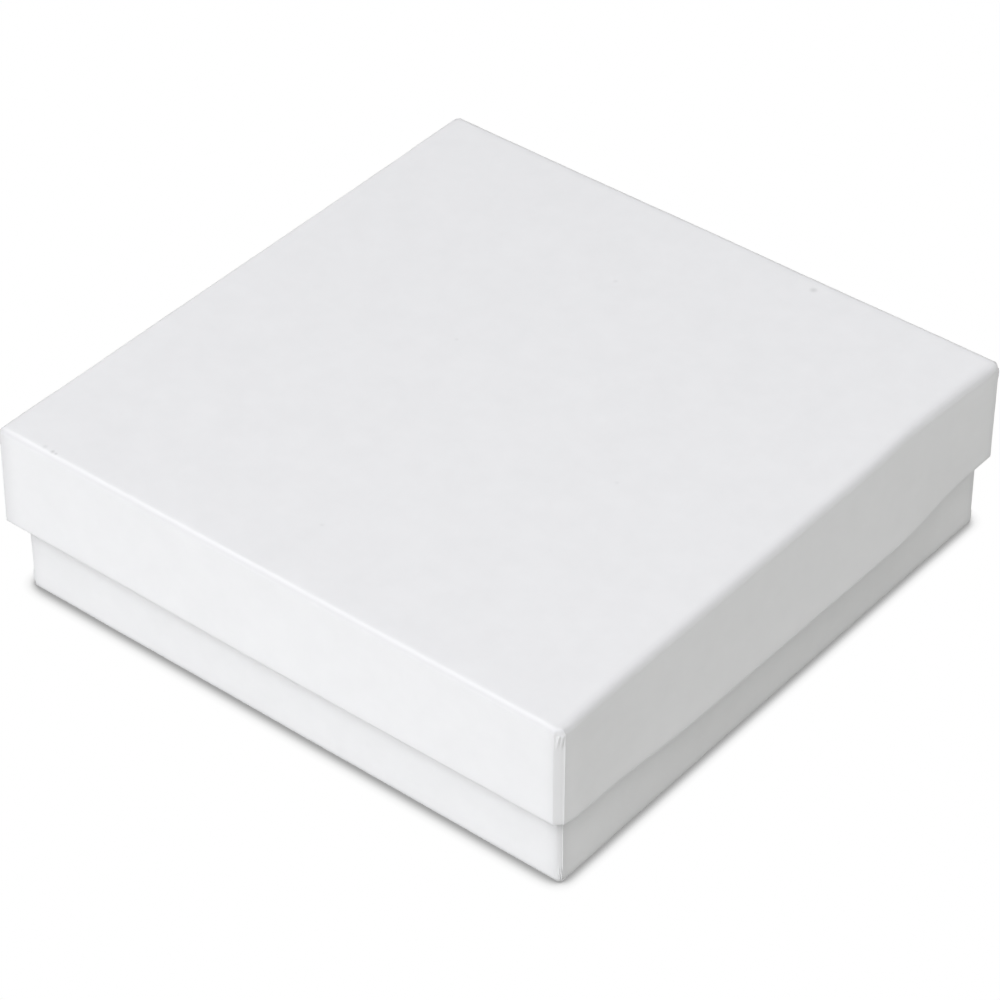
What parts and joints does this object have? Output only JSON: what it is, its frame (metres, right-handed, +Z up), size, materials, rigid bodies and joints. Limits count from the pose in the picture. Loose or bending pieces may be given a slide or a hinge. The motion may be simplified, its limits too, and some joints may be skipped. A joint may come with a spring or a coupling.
{
  "type": "jewelry gift box",
  "caption": "Square white set-up gift box for jewelry: a paper-wrapped chipboard base and lift-off lid with a loose white fibre pad inside.",
  "frame": {"origin": "centre of the base's underside, on the surface that the box stands on", "axes": "+Z up, the way the lid lifts off; +X and +Y square to the four walls; -Y is the front wall"},
  "size_m": [0.0888, 0.0888, 0.0254],
  "materials": {
    "wrap_paper": "satin",
    "chipboard": "matte",
    "stay_tape": "matte",
    "fibre": "matte"
  },
  "bodies": {
    "base": {"base_board": "chipboard", "base_wrap": "wrap_paper", "base_stay_front_left": "stay_tape", "base_stay_front_right": "stay_tape", "base_stay_back_right": "stay_tape", "base_stay_back_left": "stay_tape"},
    "pad": {"fibre_pad": "fibre"},
    "lid": {"lid_board": "chipboard", "lid_wrap": "wrap_paper", "lid_stay_front_left": "stay_tape", "lid_stay_front_right": "stay_tape", "lid_stay_back_right": "stay_tape", "lid_stay_back_left": "stay_tape"}
  },
  "joints": [
    {"name": "pad_lift", "type": "slide", "parent": "base", "child": "pad", "axis": [0, 0, 1], "range_m": [0, 0.036]},
    {"name": "lid_lift", "type": "slide", "parent": "pad", "child": "lid", "axis": [0, 0, 1], "range_m": [0, 0.06]}
  ]
}
